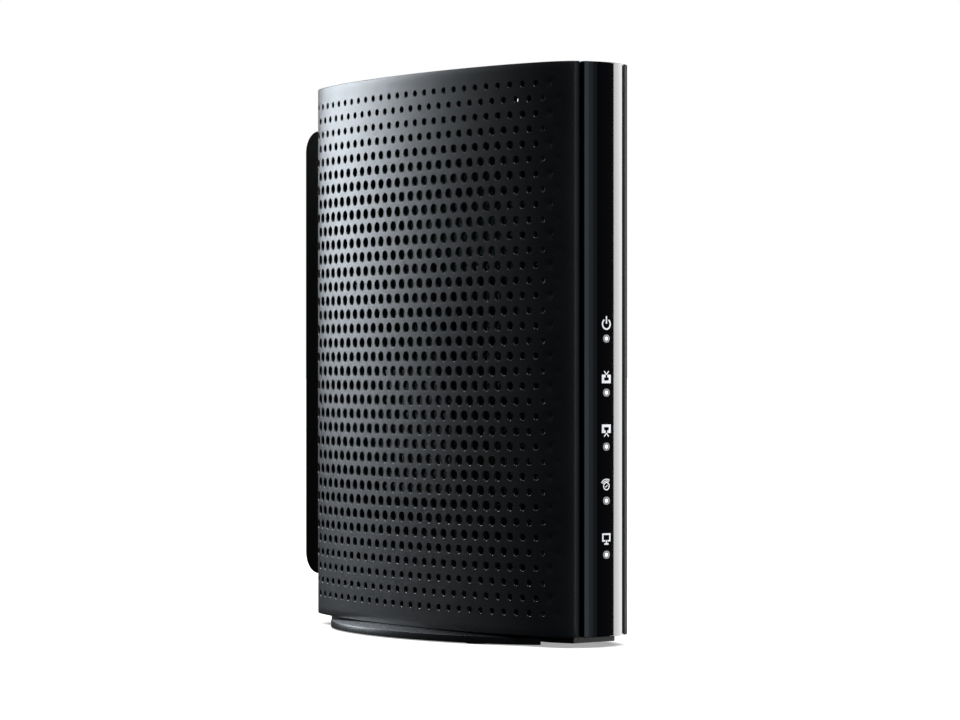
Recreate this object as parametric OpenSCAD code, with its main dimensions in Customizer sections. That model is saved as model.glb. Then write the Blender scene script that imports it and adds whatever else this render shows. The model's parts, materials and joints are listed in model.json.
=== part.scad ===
// Upright cable modem: a slim lens-shaped body on a two-winged stand.
// Origin: centre of the footprint, on the surface it stands on. Front faces -Y, +Z is up.
// Depths are measured backwards from the front face, along +Y.

/* [Body] */
// Height of the whole modem
body_h = 185.4; // [175:0.2:195]
// Widest part of the body, across both side panels
body_w = 44.6; // [42:0.2:48]
// Front face to the rear face of the port housing
body_d = 151.7; // [148:0.1:156]
// Depth at which the body is widest
widest_d = 62.4; // [58:0.2:66]
// Gap between the table and the side panels
base_gap = 3.4; // [3.2:0.1:4]
// Thickness of the side panels
panel_t = 1.4; // [1.2:0.1:1.4]

/* [Front strip] */
// Width of the glossy front strip
strip_w = 16; // [14:0.1:16]
// How far the strip's middle stands in front of its edges
strip_crown = 1.6; // [1:0.1:2]
// Height of the lowest status light
first_light_z = 29.4; // [26:0.1:34]
// Distance between status lights
light_pitch = 17.1; // [15:0.1:18]
// Diameter of a status light
light_dia = 2.8; // [2:0.1:3.2]

/* [Rear housing] */
// Half of the housing's width
housing_half_w = 8.2; // [8.2:0.1:8.8]
// Bottom of the housing
housing_low = 17.2; // [15:0.1:20]
// Top of the housing
housing_high = 170.9; // [168:0.1:173]
// Radius of the housing's rear corners
housing_r = 7.2; // [5:0.1:7.2]
// Height of the reset switch
reset_z = 146; // [142:1:150]
// Height of the Ethernet socket
ethernet_z = 116; // [112:1:120]
// Height of the coaxial connector
coax_z = 74; // [70:1:78]
// Height of the power socket
power_z = 40; // [36:1:44]

/* [Connectors] */
// Radius over the thread of the coaxial connector, a 3/8 inch thread
coax_r = 4.7625; // [4.7625:0.0001:4.7625]
// How far the coaxial connector stands out behind the housing
coax_out = 3.6; // [2.5:0.1:4]
// Width of the Ethernet socket
ethernet_w = 16; // [15.8:0.1:16.2]
// Height of the Ethernet socket, across the body
ethernet_h = 13.5; // [13.3:0.1:13.6]
// Travel of the reset button
reset_travel = 0.5; // [0.3:0.1:0.6]

/* [Stand] */
// Half of the stand's width
stand_half_w = 30.8; // [28:0.2:33]
// Half of the stand's length
stand_half_l = 61.5; // [60:0.5:64]
// Height of the rubber feet below the stand
foot_proud = 0.3; // [0.2:0.1:0.6]

/* [Hidden] */
$fn = 48;

clearance = 0.1;
total_d = body_d + coax_out;
front_y = -total_d / 2;
panel_h = body_h - base_gap;

// Side outline: full where the body is widest, and drawn in towards both ends.
front_end_d = 2.5;
front_end_w = 9.6;
rear_end_d = 144.2;
rear_end_w = housing_half_w + 0.2;
front_fullness = 0.54;
rear_fullness = 0.84;
outline_steps = 28;

cap_t = 2;
plinth_low = 1.3;
plinth_half_w = 12;
plinth_inset = 3.5;
rail_t = 2.4;
rail_half_w = 6.2;
spine_d = 4;
spine_t = 2.6;
light_count = 5;

board_x = 6.7;
board_t = 1.6;
board_front = 10;
board_rear = 136;
board_low = 14;
board_high = 172;
board_tab = 9;
tab_h = 13;
board_screw_in = 2;
screw_r = 1.25;
pilot_r = 1.3;

plate_d = 144.9;
plate_t = 1.5;
pocket_half_w = 7.2;
pocket_margin = 5.4;
ledge = 0.25;

bridge_low_d = 50;
bridge_high_d = 94;
stand_top = base_gap - 0.2;
stand_d = 73.5;
foot_depths = [39, 105];
wing_inner = 12.6;
foot_r = 4.5;
foot_recess = 0.4;
stand_screw_depths = [60, 84];

coax_nut_t = 1.9;
coax_inner_d = 131;
neck_r = 4.2;
nut_front_d = plate_d + plate_t + 0.05;
nut_rear_d = nut_front_d + coax_nut_t;
coax_bore_r = 3.6;
contact_count = 8;
contact_pitch = 1.02;

function depth_t(d) = d < widest_d ? (widest_d - d) / (widest_d - front_end_d)
                                   : (d - widest_d) / (rear_end_d - widest_d);
function half_width(d) =
    let (end_w = d < widest_d ? front_end_w : rear_end_w,
         fullness = d < widest_d ? front_fullness : rear_fullness,
         rise = max(0, 1 - pow(depth_t(d), 2)))
    end_w + (body_w / 2 - end_w) * pow(rise, fullness);
// Depths along the outline, closer together near the two ends.
function outline_depths(low, high) =
    [for (i = [0:outline_steps]) low + (high - low) * (1 - cos(180 * i / outline_steps)) / 2];
function side_points(low, high, inset) =
    [for (d = outline_depths(low, high)) [half_width(d) - inset, front_y + d]];
function reversed(list) = [for (i = [len(list) - 1:-1:0]) list[i]];
function flipped(points) = [for (p = points) [-p[0], p[1]]];
function ellipse(half_w, half_l) =
    [for (a = [0:5:355]) [half_w * cos(a), half_l * sin(a)]];
function light_z(i) = first_light_z + light_pitch * i;

// A block between two corners, with depths in the middle place.
module block(x0, x1, d0, d1, z0, z1) {
    translate([x0, front_y + d0, z0]) cube([x1 - x0, d1 - d0, z1 - z0]);
}
// Places a shape drawn along +Z so that it runs backwards from depth d.
module backwards(x, d, z) {
    translate([x, front_y + d, z]) rotate([-90, 0, 0]) children();
}
// Places a shape drawn along +Z so that it runs along +X.
module sideways(x, d, z) {
    translate([x, front_y + d, z]) rotate([0, 90, 0]) children();
}
module lens(low, high, inset) {
    polygon(concat(side_points(low, high, inset), reversed(flipped(side_points(low, high, inset)))));
}

module side_panel() {
    translate([0, 0, base_gap]) linear_extrude(panel_h)
        polygon(concat(side_points(front_end_d, rear_end_d, 0),
                       reversed(side_points(front_end_d, rear_end_d, panel_t))));
}
module right_panel() {
    color("#1b1c1e") side_panel();
}
module left_panel() {
    color("#1b1c1e") mirror([1, 0, 0]) side_panel();
}

module top_cap() {
    color("#141416") translate([0, 0, body_h - cap_t]) linear_extrude(cap_t)
        lens(spine_d, rear_end_d, panel_t + clearance);
}

module plinth_outline() {
    intersection() {
        lens(front_end_d + plinth_inset, rear_end_d - plinth_inset, panel_t + plinth_inset);
        translate([-plinth_half_w, front_y]) square([2 * plinth_half_w, body_d]);
    }
}
module bottom_cover() {
    color("#101012") difference() {
        union() {
            translate([0, 0, base_gap + 0.2]) linear_extrude(cap_t)
                lens(spine_d, rear_end_d, panel_t + clearance);
            translate([0, 0, plinth_low]) linear_extrude(base_gap + 0.4 - plinth_low) plinth_outline();
        }
        block(-20, 20, bridge_low_d - clearance, bridge_high_d + clearance, 0, base_gap + 0.2);
        for (d = stand_screw_depths) translate([0, front_y + d, 0]) cylinder(r = pilot_r + 0.2, h = 9);
    }
}

module board_tabs() {
    for (z = [board_low - 6, board_high + 9 - tab_h])
        for (d = [board_front + 1, board_rear - board_tab - 1])
            block(-2, board_x, d, d + board_tab, z, z + tab_h);
}
module board_screw_places() {
    for (z = [board_low + board_screw_in, board_high - board_screw_in])
        for (d = [board_front + 1, board_rear - board_tab - 1])
            sideways(board_x, d + board_tab / 2, z) children();
}
module centre_frame() {
    rail_low = base_gap + 0.2 + cap_t + clearance;
    rail_high = body_h - cap_t - clearance;
    color("#18181a") difference() {
        union() {
            block(-rail_half_w, rail_half_w, spine_d, spine_d + spine_t, rail_low, rail_high);
            block(-rail_half_w, rail_half_w, spine_d, rear_end_d, rail_low, rail_low + rail_t);
            block(-rail_half_w, rail_half_w, spine_d, rear_end_d, rail_high - rail_t, rail_high);
            for (z = [[rail_low, housing_low + pocket_margin], [housing_high - pocket_margin, rail_high]])
                block(-rail_half_w, rail_half_w, rear_end_d - 3, rear_end_d, z[0], z[1]);
            board_tabs();
        }
        for (i = [0:light_count - 1])
            backwards(0, spine_d - 1, light_z(i)) cylinder(r = light_dia / 2 + clearance, h = spine_t + 2);
        board_screw_places() translate([0, 0, -6]) cylinder(r = pilot_r, h = 7);
        for (d = stand_screw_depths) translate([0, front_y + d, 0]) cylinder(r = pilot_r, h = 12);
        housing_screw_places() translate([0, 0, -11]) cylinder(r = pilot_r, h = 10);
    }
}

module front_strip() {
    crown_r = (pow(strip_w / 2, 2) + pow(strip_crown, 2)) / (2 * strip_crown);
    color("#08080a") difference() {
        translate([0, 0, base_gap]) linear_extrude(panel_h) intersection() {
            translate([0, front_y + crown_r]) circle(r = crown_r, $fn = 96);
            translate([-strip_w / 2, front_y]) square([strip_w, spine_d - clearance]);
        }
        for (i = [0:light_count - 1])
            backwards(0, -1, light_z(i)) cylinder(r = light_dia / 2, h = spine_d + 2);
    }
}

module light_guides() {
    tip_d = 0.1;
    arm_d = spine_d + spine_t + 0.4;
    arm = 2.4;
    color("#f4f6f8") {
        for (i = [0:light_count - 1]) {
            backwards(0, tip_d, light_z(i)) cylinder(r = light_dia / 2 - 0.02, h = arm_d + 1 - tip_d);
            block(-1.2, board_x - 1.2, arm_d, arm_d + arm, light_z(i) - 1, light_z(i) + 1);
        }
        block(-1.2, 0.4, arm_d, arm_d + arm, light_z(0), light_z(light_count - 1));
    }
}

module housing_outline() {
    front = front_y + rear_end_d + 0.2;
    rear = front_y + body_d;
    r = housing_r;
    intersection() {
        union() {
            translate([front - r, housing_low]) square([rear - front, housing_high - housing_low]);
            translate([front - r, housing_low + r]) square([rear - front + r, housing_high - housing_low - 2 * r]);
            for (z = [housing_low + r, housing_high - r]) translate([rear - r, z]) circle(r = r);
        }
        translate([front, 0]) square([rear - front, body_h]);
    }
}
module housing_screw_places() {
    for (z = [housing_low + 2.6, housing_high - 2.6]) backwards(0, rear_end_d + 1, z) children();
}
module rear_housing() {
    pocket_low = housing_low + pocket_margin;
    pocket_high = housing_high - pocket_margin;
    color("#0d0d0f") difference() {
        rotate([90, 0, 90]) translate([0, 0, -housing_half_w]) linear_extrude(2 * housing_half_w)
            housing_outline();
        block(-pocket_half_w + ledge, pocket_half_w - ledge, rear_end_d - 1, body_d + 1,
              pocket_low + 1.5, pocket_high - 1.5);
        block(-pocket_half_w, pocket_half_w, plate_d, body_d + 1, pocket_low, pocket_high);
        housing_screw_places() translate([0, 0, -2]) cylinder(r = screw_r + 0.2, h = 12);
        housing_screw_places() translate([0, 0, 1.4]) cylinder(r = 2, h = 12);
    }
}
module housing_screws() {
    color("#3a3b3e") housing_screw_places() {
        translate([0, 0, 1.4]) cylinder(r = 1.9, h = 1.5);
        translate([0, 0, -8]) cylinder(r = screw_r, h = 9.5);
    }
}

module port_plate() {
    pocket_low = housing_low + pocket_margin + clearance;
    pocket_high = housing_high - pocket_margin - clearance;
    half_w = pocket_half_w - 0.05;
    color("#0b0b0d") difference() {
        block(-half_w, half_w, plate_d, plate_d + plate_t, pocket_low, pocket_high);
        // The Ethernet socket fills the pocket's width, so the plate is in two lengths, above and below it
        block(-pocket_half_w, pocket_half_w, plate_d - 1, plate_d + 3,
              ethernet_z - ethernet_w / 2 - clearance, ethernet_z + ethernet_w / 2 + clearance);
        backwards(0, plate_d - 1, coax_z) cylinder(r = neck_r + clearance, h = 4);
        backwards(0, plate_d - 1, power_z) cylinder(r = 4.2, h = 4);
        backwards(0, plate_d - 1, reset_z) cylinder(r = 1.1, h = 4);
    }
}

module wing_outline(side) {
    intersection() {
        translate([0, front_y + stand_d]) polygon(ellipse(stand_half_w, stand_half_l));
        translate([side > 0 ? wing_inner : -wing_inner - 40, front_y]) square([40, total_d]);
    }
}
module foot_places() {
    for (x = [-20.5, 20.5]) for (d = foot_depths) translate([x, front_y + d, 0]) children();
}
module stand() {
    color("#0e0e10") difference() {
        union() {
            for (side = [-1, 1]) translate([0, 0, foot_proud]) linear_extrude(stand_top - foot_proud)
                wing_outline(side);
            block(-wing_inner - 0.5, wing_inner + 0.5, bridge_low_d, bridge_high_d, foot_proud, stand_top);
        }
        foot_places() cylinder(r = foot_r, h = foot_proud + foot_recess);
        for (d = stand_screw_depths) translate([0, front_y + d, 0]) {
            cylinder(r = screw_r + 0.2, h = 9);
            cylinder(r = 2.7, h = 1.9);
        }
    }
}
module stand_screws() {
    color("#8d9094") for (d = stand_screw_depths) translate([0, front_y + d, 0]) {
        translate([0, 0, foot_proud + 0.1]) cylinder(r = 2.6, h = 1.2);
        translate([0, 0, 1]) cylinder(r = screw_r, h = 6.9);
    }
}
module rubber_feet() {
    color("#2a2b2d") foot_places() cylinder(r = foot_r - 0.05, h = foot_proud + foot_recess);
}

module main_board() {
    color("#1d5b3a") difference() {
        block(board_x, board_x + board_t, board_front, board_rear, board_low - 2, board_high + 2);
        board_screw_places() translate([0, 0, -1]) cylinder(r = screw_r + 0.25, h = board_t + 2);
    }
}
module board_screws() {
    color("#b9bcc0") board_screw_places() {
        translate([0, 0, board_t]) cylinder(r = 2.6, h = 1.4);
        translate([0, 0, -4.5]) cylinder(r = screw_r, h = board_t + 4.6);
    }
}
// A component lying on the board's left face: its middle, its size along the depth and height,
// how far it stands off the board and how thick it is.
module component(d, z, size_d, size_z, thick, off = 0) {
    block(board_x - off - thick, board_x - off, d - size_d / 2, d + size_d / 2, z - size_z / 2, z + size_z / 2);
}
module status_lights() {
    color("#f3f1d8") for (i = [0:light_count - 1])
        component(board_front + 1.5, light_z(i), 2.6, 1.6, 0.9);
}
module processor() {
    color("#222326") component(58, 100, 24, 24, 2);
}
module thermal_pad() {
    color("#9aa7b2") component(58, 100, 20, 20, 0.8, 2);
}
module heat_sink() {
    base_off = 2.8;
    base_t = 2;
    fin_h = 8;
    fins = 9;
    size = 44;
    color("#a9adb3") {
        component(58, 100, size, size, base_t, base_off);
        for (i = [0:fins - 1])
            component(58 - size / 2 + 0.6 + i * (size - 1.2) / (fins - 1), 100, 1.2, size, fin_h + 0.2,
                      base_off + base_t - 0.2);
    }
}
module memory_chips() {
    color("#26272a") for (z = [134, 150]) component(56, z, 13, 10, 1.2);
}
module flash_chip() {
    color("#26272a") component(88, 146, 12, 9, 1.2);
}
module shield_can() {
    wall = 0.4;
    color("#c3c6c9") difference() {
        component(101, 66, 40, 44, 6);
        component(101, 66, 40 - 2 * wall, 44 - 2 * wall, 6 - wall, -0.01);
    }
}
module tuner_chip() {
    color("#26272a") component(99, 66, 9, 9, 1.2);
}
module capacitors() {
    color("#2f3f58") for (p = [[34, 30, 4], [46, 30, 4], [60, 34, 5], [34, 44, 3.2]])
        sideways(board_x - 11, p[0], p[1]) cylinder(r = p[2], h = 11);
}
module inductors() {
    color("#54565a") for (p = [[80, 30], [96, 30]]) difference() {
        component(p[0], p[1], 10, 10, 4.5);
        sideways(board_x - 5, p[0], p[1]) cylinder(r = 1.6, h = 2);
    }
}
module ethernet_transformer() {
    color("#1f2022") component(100, ethernet_z, 12, 15, 6);
}

module ethernet_socket() {
    half_h = ethernet_h / 2;
    half_w = ethernet_w / 2;
    mouth_d = plate_d + plate_t + 0.2;
    back_d = 123;
    color("#b8bbbf") difference() {
        block(-half_h, board_x - 0.02, back_d, mouth_d, ethernet_z - half_w, ethernet_z + half_w);
        // Plug opening, with the latch slot beside it
        block(-4.4, 4.2, mouth_d - 15, mouth_d + 1, ethernet_z - 5.95, ethernet_z + 5.95);
        block(-6, -4.3, mouth_d - 13, mouth_d + 1, ethernet_z - 3, ethernet_z + 3);
    }
}
module ethernet_contacts() {
    color("#d7b45a") for (i = [0:contact_count - 1]) {
        z = ethernet_z + (i - (contact_count - 1) / 2) * contact_pitch;
        block(3.4, 3.75, plate_d - 11, plate_d - 3, z - 0.22, z + 0.22);
        block(3.4, 4.2, plate_d - 11.4, plate_d - 11, z - 0.22, z + 0.22);
    }
}

module coax_connector() {
    color("#c9b26a") difference() {
        union() {
            backwards(0, nut_rear_d, coax_z) cylinder(r = coax_r, h = total_d - nut_rear_d);
            backwards(0, coax_inner_d + 6, coax_z) cylinder(r = neck_r, h = nut_rear_d - coax_inner_d - 6);
            block(-5.5, board_x - 0.02, coax_inner_d, plate_d - 0.1, coax_z - 5.5, coax_z + 5.5);
        }
        backwards(0, coax_inner_d + 2, coax_z) cylinder(r = coax_bore_r, h = 40);
    }
}
module coax_nut() {
    color("#d2d4d6") backwards(0, nut_front_d, coax_z) difference() {
        cylinder(r = 6.3, h = coax_nut_t, $fn = 6);
        translate([0, 0, -1]) cylinder(r = neck_r + 0.05, h = coax_nut_t + 2);
    }
}
module coax_insulator() {
    color("#eceade") backwards(0, 133.1, coax_z) difference() {
        cylinder(r = coax_bore_r - 0.02, h = total_d - 133.1 - 1.2);
        translate([0, 0, 1.2]) cylinder(r = 1.1, h = 40);
    }
}
module coax_contact() {
    color("#d7b45a") backwards(0, 134.4, coax_z) difference() {
        cylinder(r = 1.08, h = total_d - 134.4 - 2.4);
        translate([0, 0, 4]) cylinder(r = 0.6, h = 40);
    }
}

module power_socket() {
    color("#131315") difference() {
        union() {
            block(-5, board_x - 0.02, 131, plate_d - 0.1, power_z - 4.5, power_z + 4.5);
            backwards(0, 140, power_z) cylinder(r = 4.1, h = plate_d + plate_t - 140);
        }
        backwards(0, 135, power_z) cylinder(r = 3.2, h = 20);
    }
}
module power_pin() {
    color("#d9dadc") backwards(0, 135, power_z) cylinder(r = 1.05, h = 9.6);
}

module reset_switch() {
    color("#1a1a1c") difference() {
        block(-3, 3, 135, 138.6, reset_z - 3, reset_z + 3);
        backwards(0, 136, reset_z) cylinder(r = 1.75, h = 5);
    }
    color("#c3c6c9") block(3.01, board_x - 0.02, 124, 138.6, reset_z - 3, reset_z + 3);
}
module reset_button() {
    color("#e7e7e2") backwards(0, 136 + reset_travel + 0.1, reset_z)
        cylinder(r = 1.7, h = plate_d - 1 - 136 - reset_travel - 0.1);
}

left_panel();
right_panel();
top_cap();
bottom_cover();
centre_frame();
front_strip();
light_guides();
rear_housing();
port_plate();
housing_screws();
stand();
stand_screws();
rubber_feet();
main_board();
board_screws();
status_lights();
processor();
thermal_pad();
heat_sink();
memory_chips();
flash_chip();
shield_can();
tuner_chip();
capacitors();
inductors();
ethernet_transformer();
ethernet_socket();
ethernet_contacts();
coax_connector();
coax_nut();
coax_insulator();
coax_contact();
power_socket();
power_pin();
reset_switch();
reset_button();
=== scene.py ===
"""The upright cable modem's looks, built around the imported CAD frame. Lengths are in metres."""
import json
import math

import bmesh
import bpy
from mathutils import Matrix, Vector


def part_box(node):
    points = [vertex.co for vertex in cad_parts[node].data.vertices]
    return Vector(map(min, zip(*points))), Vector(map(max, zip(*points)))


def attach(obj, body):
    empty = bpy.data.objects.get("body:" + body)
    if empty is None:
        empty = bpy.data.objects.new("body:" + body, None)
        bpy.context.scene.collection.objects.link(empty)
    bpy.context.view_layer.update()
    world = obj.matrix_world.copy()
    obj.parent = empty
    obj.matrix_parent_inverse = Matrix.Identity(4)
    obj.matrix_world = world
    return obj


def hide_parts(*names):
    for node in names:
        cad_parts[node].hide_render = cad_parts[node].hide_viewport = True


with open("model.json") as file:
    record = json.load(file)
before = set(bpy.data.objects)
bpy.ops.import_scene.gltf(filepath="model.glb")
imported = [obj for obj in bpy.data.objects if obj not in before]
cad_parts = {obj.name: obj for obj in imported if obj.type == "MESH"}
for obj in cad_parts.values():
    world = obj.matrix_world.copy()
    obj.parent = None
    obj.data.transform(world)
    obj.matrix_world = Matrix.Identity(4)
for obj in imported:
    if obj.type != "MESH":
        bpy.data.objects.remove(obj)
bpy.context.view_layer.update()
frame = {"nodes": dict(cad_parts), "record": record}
MM = 0.001

# ---------------------------------------------------------------- places taken from the frame
strip_low, strip_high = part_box("front_strip")
panel_low, panel_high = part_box("left_panel")
housing_low, housing_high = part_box("rear_housing")
stand_low, stand_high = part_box("stand")
FRONT_Y = strip_low.y
BODY_HALF_W = -panel_low.x
PANEL_FRONT = panel_low.y - FRONT_Y
PANEL_REAR = panel_high.y - FRONT_Y
PANEL_T = 1.3 * MM
WIDEST = 62.4 * MM
FRONT_END_W = 9.6 * MM
REAR_END_W = housing_high.x + 0.2 * MM
FRONT_FULLNESS = 0.54
REAR_FULLNESS = 0.84
EYE_Z = 87.5 * MM
STRIP_SET_BACK = 0.06 * MM
STRIP_CROWN = 1.6 * MM
LIGHT_TARGET = (0, 0, 0.09)
WORLD_GLOW = 0.012
COOL = (0.86, 0.93, 1.0)
BLUE = (0.72, 0.86, 1.0)


def half_width(depth):
    """Half of the body's width at a depth behind the front face, the same outline as the CAD panels."""
    if depth < WIDEST:
        end_w, fullness = FRONT_END_W, FRONT_FULLNESS
        t = (WIDEST - depth) / (WIDEST - PANEL_FRONT)
    else:
        end_w, fullness = REAR_END_W, REAR_FULLNESS
        t = (depth - WIDEST) / (PANEL_REAR - WIDEST)
    return end_w + (BODY_HALF_W - end_w) * max(0.0, 1 - t * t) ** fullness


# ---------------------------------------------------------------- camera, floor and lights
def make_camera():
    data = bpy.data.cameras.new("camera")
    data.lens = 129.0
    data.sensor_width = 36.0
    data.shift_x = 0.001
    data.shift_y = 0.0116
    data.clip_start = 0.05
    camera = bpy.data.objects.new("camera", data)
    camera.location = (-0.7094, FRONT_Y - 0.8270, EYE_Z)
    camera.rotation_euler = (math.pi / 2, 0, -math.radians(38.5))
    bpy.context.scene.collection.objects.link(camera)
    bpy.context.scene.camera = camera


def area_light(name, place, target, size, power, size_y=None, colour=(1, 1, 1)):
    data = bpy.data.lights.new(name, "AREA")
    data.shape = "RECTANGLE"
    data.size = size
    data.size_y = size_y or size
    data.energy = power
    data.color = colour
    lamp = bpy.data.objects.new(name, data)
    lamp.location = place
    lamp.rotation_euler = (Vector(target) - Vector(place)).to_track_quat("-Z", "Y").to_euler()
    bpy.context.scene.collection.objects.link(lamp)
    return lamp


def make_world():
    """White behind the object, and a dim even light for everything else."""
    world = bpy.data.worlds.new("studio")
    bpy.context.scene.world = world
    world.use_nodes = True
    nodes, links = world.node_tree.nodes, world.node_tree.links
    nodes.clear()
    out = nodes.new("ShaderNodeOutputWorld")
    mix = nodes.new("ShaderNodeMixShader")
    seen = nodes.new("ShaderNodeBackground")
    lit = nodes.new("ShaderNodeBackground")
    path = nodes.new("ShaderNodeLightPath")
    seen.inputs["Color"].default_value = (1, 1, 1, 1)
    seen.inputs["Strength"].default_value = 1.0
    lit.inputs["Color"].default_value = (1, 1, 1, 1)
    lit.inputs["Strength"].default_value = WORLD_GLOW
    links.new(path.outputs["Is Camera Ray"], mix.inputs["Fac"])
    links.new(lit.outputs[0], mix.inputs[1])
    links.new(seen.outputs[0], mix.inputs[2])
    links.new(mix.outputs[0], out.inputs["Surface"])


def make_floor():
    """A pale floor that takes the object's shadow and stays out of its reflections."""
    size = 30.0
    mesh = bpy.data.meshes.new("floor")
    corners = [(-size, -size, 0), (size, -size, 0), (size, size, 0), (-size, size, 0)]
    mesh.from_pydata(corners, [], [(0, 1, 2, 3)])
    floor = bpy.data.objects.new("floor", mesh)
    bpy.context.scene.collection.objects.link(floor)
    material = bpy.data.materials.new("floor_white")
    material.use_nodes = True
    shader = material.node_tree.nodes["Principled BSDF"]
    shader.inputs["Base Color"].default_value = (0.93, 0.93, 0.93, 1)
    shader.inputs["Roughness"].default_value = 0.9
    shader.inputs["Specular IOR Level"].default_value = 0.0
    shader.inputs["Emission Color"].default_value = (1, 1, 1, 1)
    shader.inputs["Emission Strength"].default_value = 0.36
    floor.visible_glossy = False
    floor.visible_diffuse = False
    floor.visible_shadow = False
    mesh.materials.append(material)
    return floor


# ---------------------------------------------------------------- materials
def principled(name, colour, roughness, metallic=0.0, coat=0.0, specular=0.5):
    material = bpy.data.materials.new(name)
    material.use_nodes = True
    shader = material.node_tree.nodes["Principled BSDF"]
    shader.inputs["Base Color"].default_value = (*colour, 1)
    shader.inputs["Roughness"].default_value = roughness
    shader.inputs["Metallic"].default_value = metallic
    shader.inputs["Coat Weight"].default_value = coat
    shader.inputs["Coat Roughness"].default_value = 0.04
    shader.inputs["Specular IOR Level"].default_value = specular
    return material, material.node_tree, shader


def position(tree, scale=(1, 1, 1)):
    coords = tree.nodes.new("ShaderNodeTexCoord")
    mapping = tree.nodes.new("ShaderNodeMapping")
    mapping.inputs["Scale"].default_value = scale
    tree.links.new(coords.outputs["Object"], mapping.inputs["Vector"])
    return mapping.outputs["Vector"]


def noise(tree, scale, detail=3.0, stretch=(1, 1, 1)):
    node = tree.nodes.new("ShaderNodeTexNoise")
    node.inputs["Scale"].default_value = scale
    node.inputs["Detail"].default_value = detail
    tree.links.new(position(tree, stretch), node.inputs["Vector"])
    return node.outputs["Fac"]


def mottle(tree, shader, colour, spread, scale):
    """Slight variation of the base colour."""
    ramp = tree.nodes.new("ShaderNodeValToRGB")
    ramp.color_ramp.elements[0].position = 0.35
    ramp.color_ramp.elements[1].position = 0.65
    ramp.color_ramp.elements[0].color = (*[c * (1 - spread) for c in colour], 1)
    ramp.color_ramp.elements[1].color = (*[min(1, c * (1 + spread)) for c in colour], 1)
    tree.links.new(noise(tree, scale), ramp.inputs["Fac"])
    tree.links.new(ramp.outputs["Color"], shader.inputs["Base Color"])


def vary_roughness(tree, shader, low, high, scale):
    spread = tree.nodes.new("ShaderNodeMapRange")
    spread.inputs["To Min"].default_value = low
    spread.inputs["To Max"].default_value = high
    tree.links.new(noise(tree, scale), spread.inputs["Value"])
    tree.links.new(spread.outputs["Result"], shader.inputs["Roughness"])


def grain(tree, shader, scale, height, stretch=(1, 1, 1)):
    bump = tree.nodes.new("ShaderNodeBump")
    bump.inputs["Strength"].default_value = 1.0
    bump.inputs["Distance"].default_value = height
    tree.links.new(noise(tree, scale, 2.0, stretch), bump.inputs["Height"])
    tree.links.new(bump.outputs["Normal"], shader.inputs["Normal"])


def plastic(name, colour, roughness, spread=0.12, grain_scale=2600, grain_height=0.02 * MM, coat=0.0,
            colour_scale=60, rough_spread=0.03):
    material, tree, shader = principled(name, colour, roughness, coat=coat)
    mottle(tree, shader, colour, spread, colour_scale)
    vary_roughness(tree, shader, roughness - rough_spread, roughness + rough_spread, 220)
    grain(tree, shader, grain_scale, grain_height)
    return material


def metal(name, colour, roughness, stretch=(1, 1, 1), height=0.004 * MM):
    material, tree, shader = principled(name, colour, roughness, metallic=1.0)
    mottle(tree, shader, colour, 0.06, 300)
    vary_roughness(tree, shader, roughness - 0.05, roughness + 0.07, 500)
    grain(tree, shader, 900, height, stretch)
    return material


def glow(name, colour, strength, base):
    """A glowing surface: its own colour under the lights, and what it gives off. The status lights really
    give off light; on the print the glow is painted light.
    """
    material, tree, shader = principled(name, (base, base, base), 0.3)
    shader.inputs["Emission Color"].default_value = (*colour, 1)
    shader.inputs["Emission Strength"].default_value = strength
    mottle(tree, shader, (base, base, base), 0.05, 900)
    return material


def board_material():
    colour = (0.015, 0.13, 0.055)
    material, tree, shader = principled("solder_mask", colour, 0.3, coat=0.3)
    tracks = tree.nodes.new("ShaderNodeTexBrick")
    tracks.inputs["Scale"].default_value = 260
    tracks.inputs["Color1"].default_value = (0.012, 0.12, 0.05, 1)
    tracks.inputs["Color2"].default_value = (0.016, 0.15, 0.065, 1)
    tracks.inputs["Mortar"].default_value = (0.03, 0.22, 0.10, 1)
    tracks.inputs["Mortar Size"].default_value = 0.03
    mapping = tree.nodes.new("ShaderNodeMapping")
    mapping.inputs["Rotation"].default_value = (0, math.pi / 2, 0)
    tree.links.new(position(tree), mapping.inputs["Vector"])
    tree.links.new(mapping.outputs["Vector"], tracks.inputs["Vector"])
    tree.links.new(tracks.outputs["Color"], shader.inputs["Base Color"])
    grain(tree, shader, 800, 0.01 * MM)
    return material


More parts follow.
